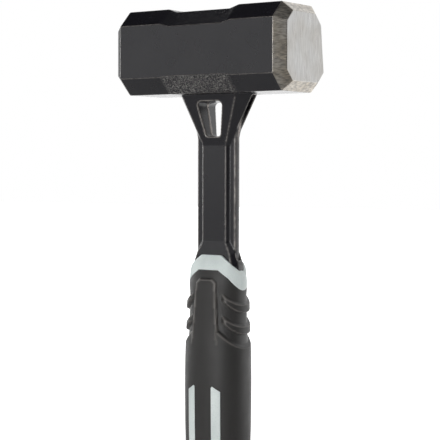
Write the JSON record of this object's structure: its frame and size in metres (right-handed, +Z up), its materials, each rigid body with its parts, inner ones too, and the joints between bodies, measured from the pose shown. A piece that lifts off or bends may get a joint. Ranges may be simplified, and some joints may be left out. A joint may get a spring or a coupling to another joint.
{
  "type": "sledgehammer",
  "caption": "Short-handled one-piece forged sledgehammer with an octagonal double-faced head and a soft two-colour moulded grip.",
  "frame": {"origin": "middle of the flat butt end of the handle", "axes": "+Z up the handle to the head, X along the head from face to face, Y across the handle's broad sides"},
  "size_m": [0.1156, 0.048, 0.3],
  "materials": {
    "forging": "satin black paint, striking ends ground bright",
    "hard_core": "as moulded",
    "light_plastic": "fine matt moulded",
    "soft_grip": "fine matt moulded"
  },
  "bodies": {
    "root": {"forged_head_and_shank": "forging", "tang_core": "hard_core", "collar": "light_plastic", "outer_grip": "soft_grip", "stripe_front_left": "light_plastic", "stripe_back_left": "light_plastic", "stripe_front_right": "light_plastic", "stripe_back_right": "light_plastic"}
  },
  "joints": []
}
